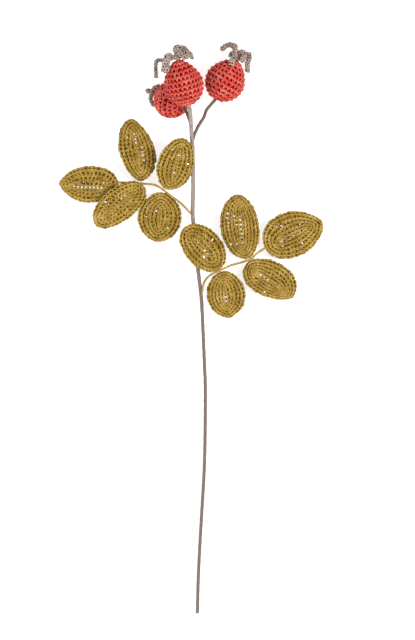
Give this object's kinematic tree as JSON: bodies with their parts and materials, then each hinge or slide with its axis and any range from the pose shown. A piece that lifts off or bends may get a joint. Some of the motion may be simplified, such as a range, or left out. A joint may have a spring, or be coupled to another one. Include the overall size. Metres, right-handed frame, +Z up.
{
  "type": "crocheted rose hip sprig",
  "caption": "Crocheted rose hip sprig lying on its side: stuffed coral hips with curled taupe calyxes and two gold compound leaves on a taped wire stem",
  "frame": {"origin": "middle of the whole sprig's box, at the level of the surface it lies on", "axes": "+Y runs along the stem from the cut tail to the hips, +Z is up from the surface, +X is to the right seen from above"},
  "size_m": [0.231, 0.4988, 0.0639],
  "materials": {
    "coral_yarn": "matte cotton yarn, single crochet in rounds",
    "gold_yarn": "matte cotton yarn, crochet rows round a midrib",
    "taupe_yarn": "matte cotton yarn, crocheted cords",
    "floral_tape": "slightly waxy crepe tape wound on the wire",
    "polyester_fill": "loose fibre fill",
    "steel_wire": "drawn steel wire"
  },
  "bodies": {
    "root": {"calyx_centre": "taupe_yarn", "calyx_left": "taupe_yarn", "calyx_right": "taupe_yarn", "hip_centre": "coral_yarn", "hip_left": "coral_yarn", "hip_right": "coral_yarn", "hip_wire_left": "steel_wire", "hip_wire_right": "steel_wire", "leaf_stalk_left": "gold_yarn", "leaf_stalk_right": "gold_yarn", "leaf_wire_left": "steel_wire", "leaf_wire_right": "steel_wire", "leaflet_left_1": "gold_yarn", "leaflet_left_2": "gold_yarn", "leaflet_left_3": "gold_yarn", "leaflet_left_4": "gold_yarn", "leaflet_left_5": "gold_yarn", "leaflet_right_1": "gold_yarn", "leaflet_right_2": "gold_yarn", "leaflet_right_3": "gold_yarn", "leaflet_right_4": "gold_yarn", "leaflet_right_5": "gold_yarn", "stem_wire": "steel_wire", "stem_wrap": "floral_tape", "stuffing_centre": "polyester_fill", "stuffing_left": "polyester_fill", "stuffing_right": "polyester_fill"}
  },
  "joints": []
}
